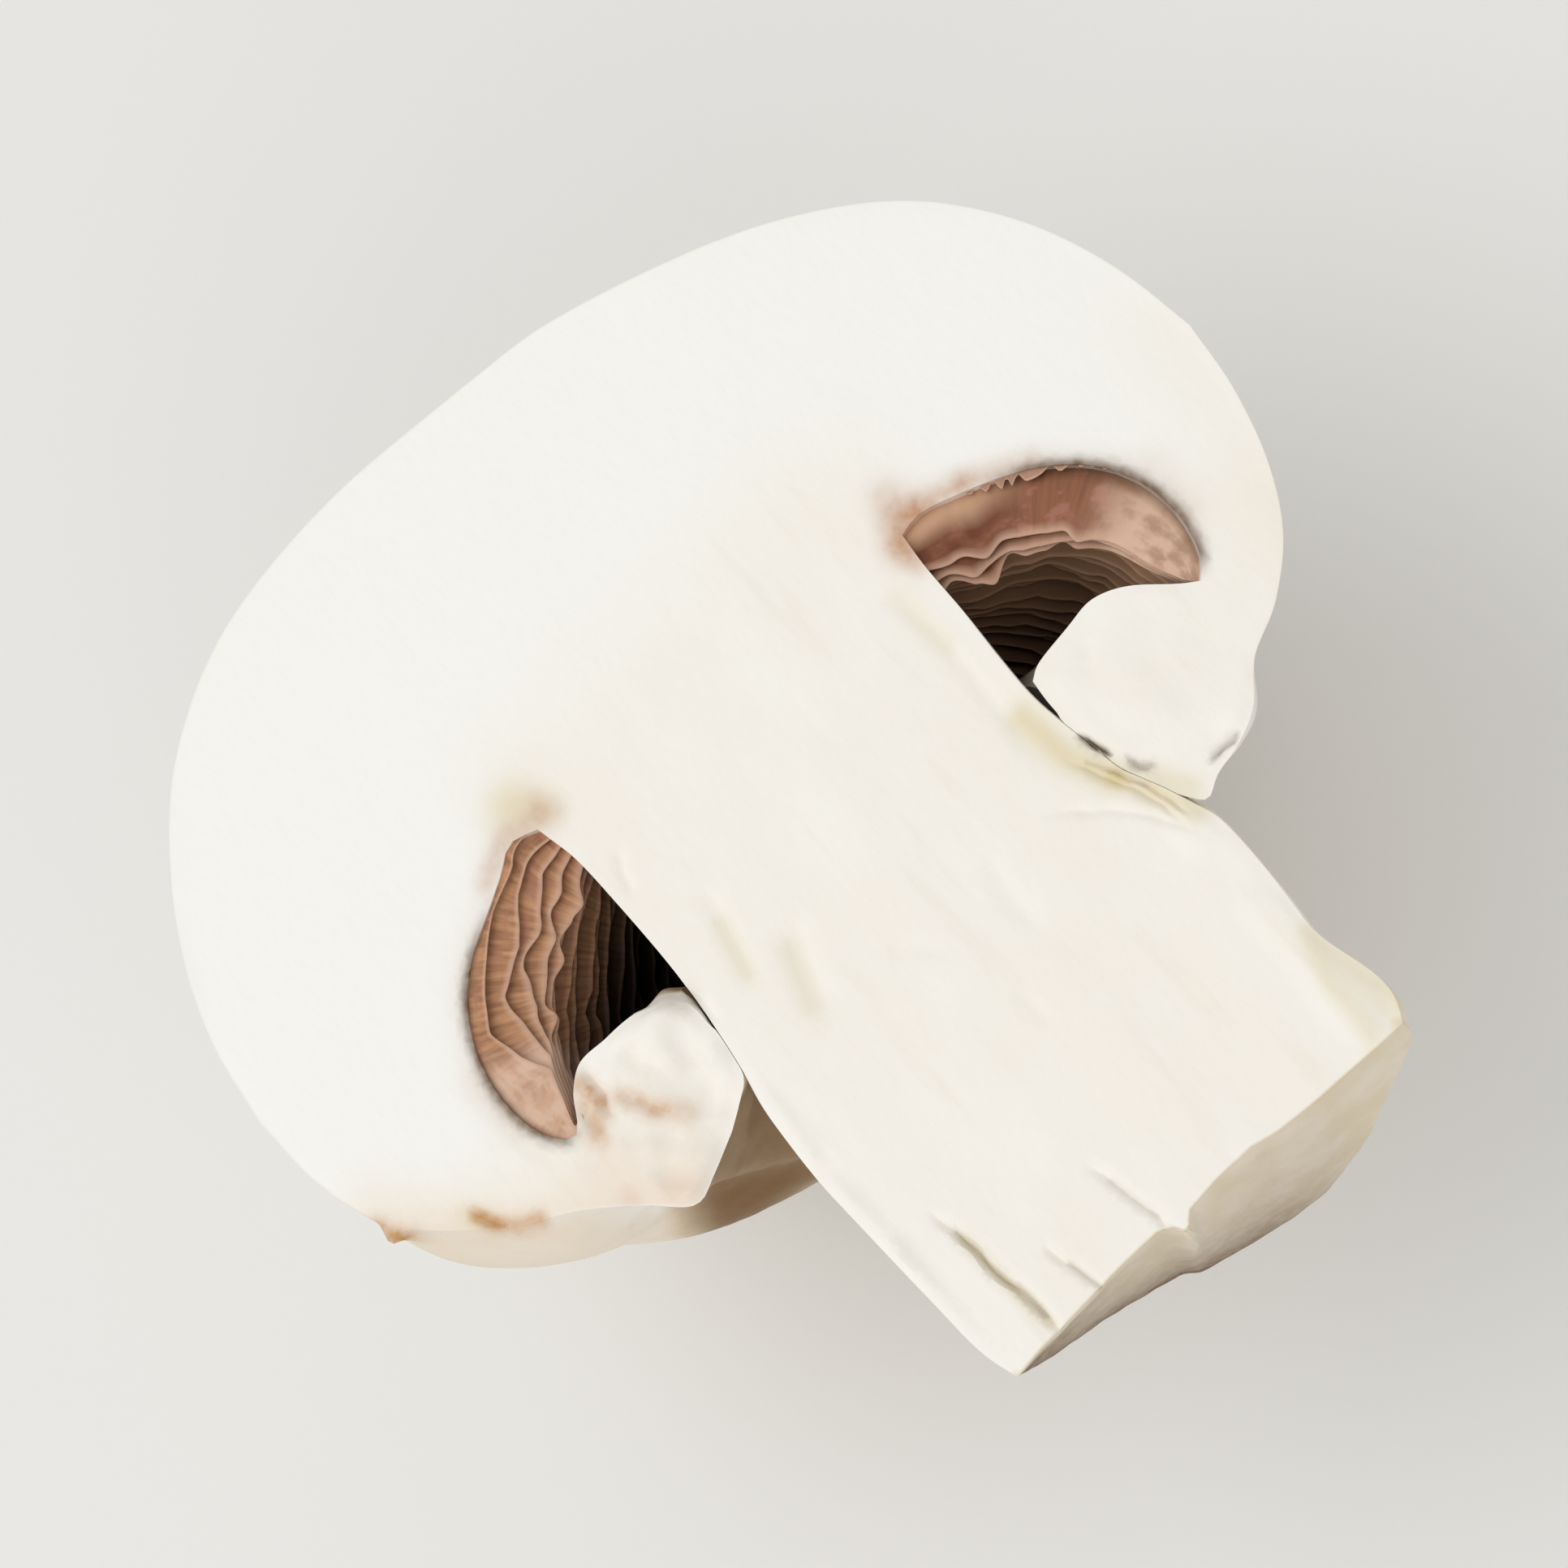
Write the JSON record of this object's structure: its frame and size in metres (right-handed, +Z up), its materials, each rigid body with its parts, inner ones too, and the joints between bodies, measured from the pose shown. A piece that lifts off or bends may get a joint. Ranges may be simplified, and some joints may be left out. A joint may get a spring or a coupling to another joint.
{
  "type": "halved button mushroom",
  "caption": "Half of a closed button mushroom, cut lengthwise through round cap, gills and thick stem, lying on its back with the cut face up.",
  "frame": {"origin": "on the ground under the middle of the half as it lies on its back", "axes": "+Z up, out of the level cut face; +Y along the stem's axis, from the stem's cut end to the top of the cap; +X across the cut face"},
  "size_m": [0.0516, 0.0514, 0.0259],
  "materials": {
    "flesh": "matt cream-white mushroom flesh with a satin skin and pinkish brown gills"
  },
  "bodies": {
    "root": {"button_mushroom": "flesh"}
  },
  "joints": []
}
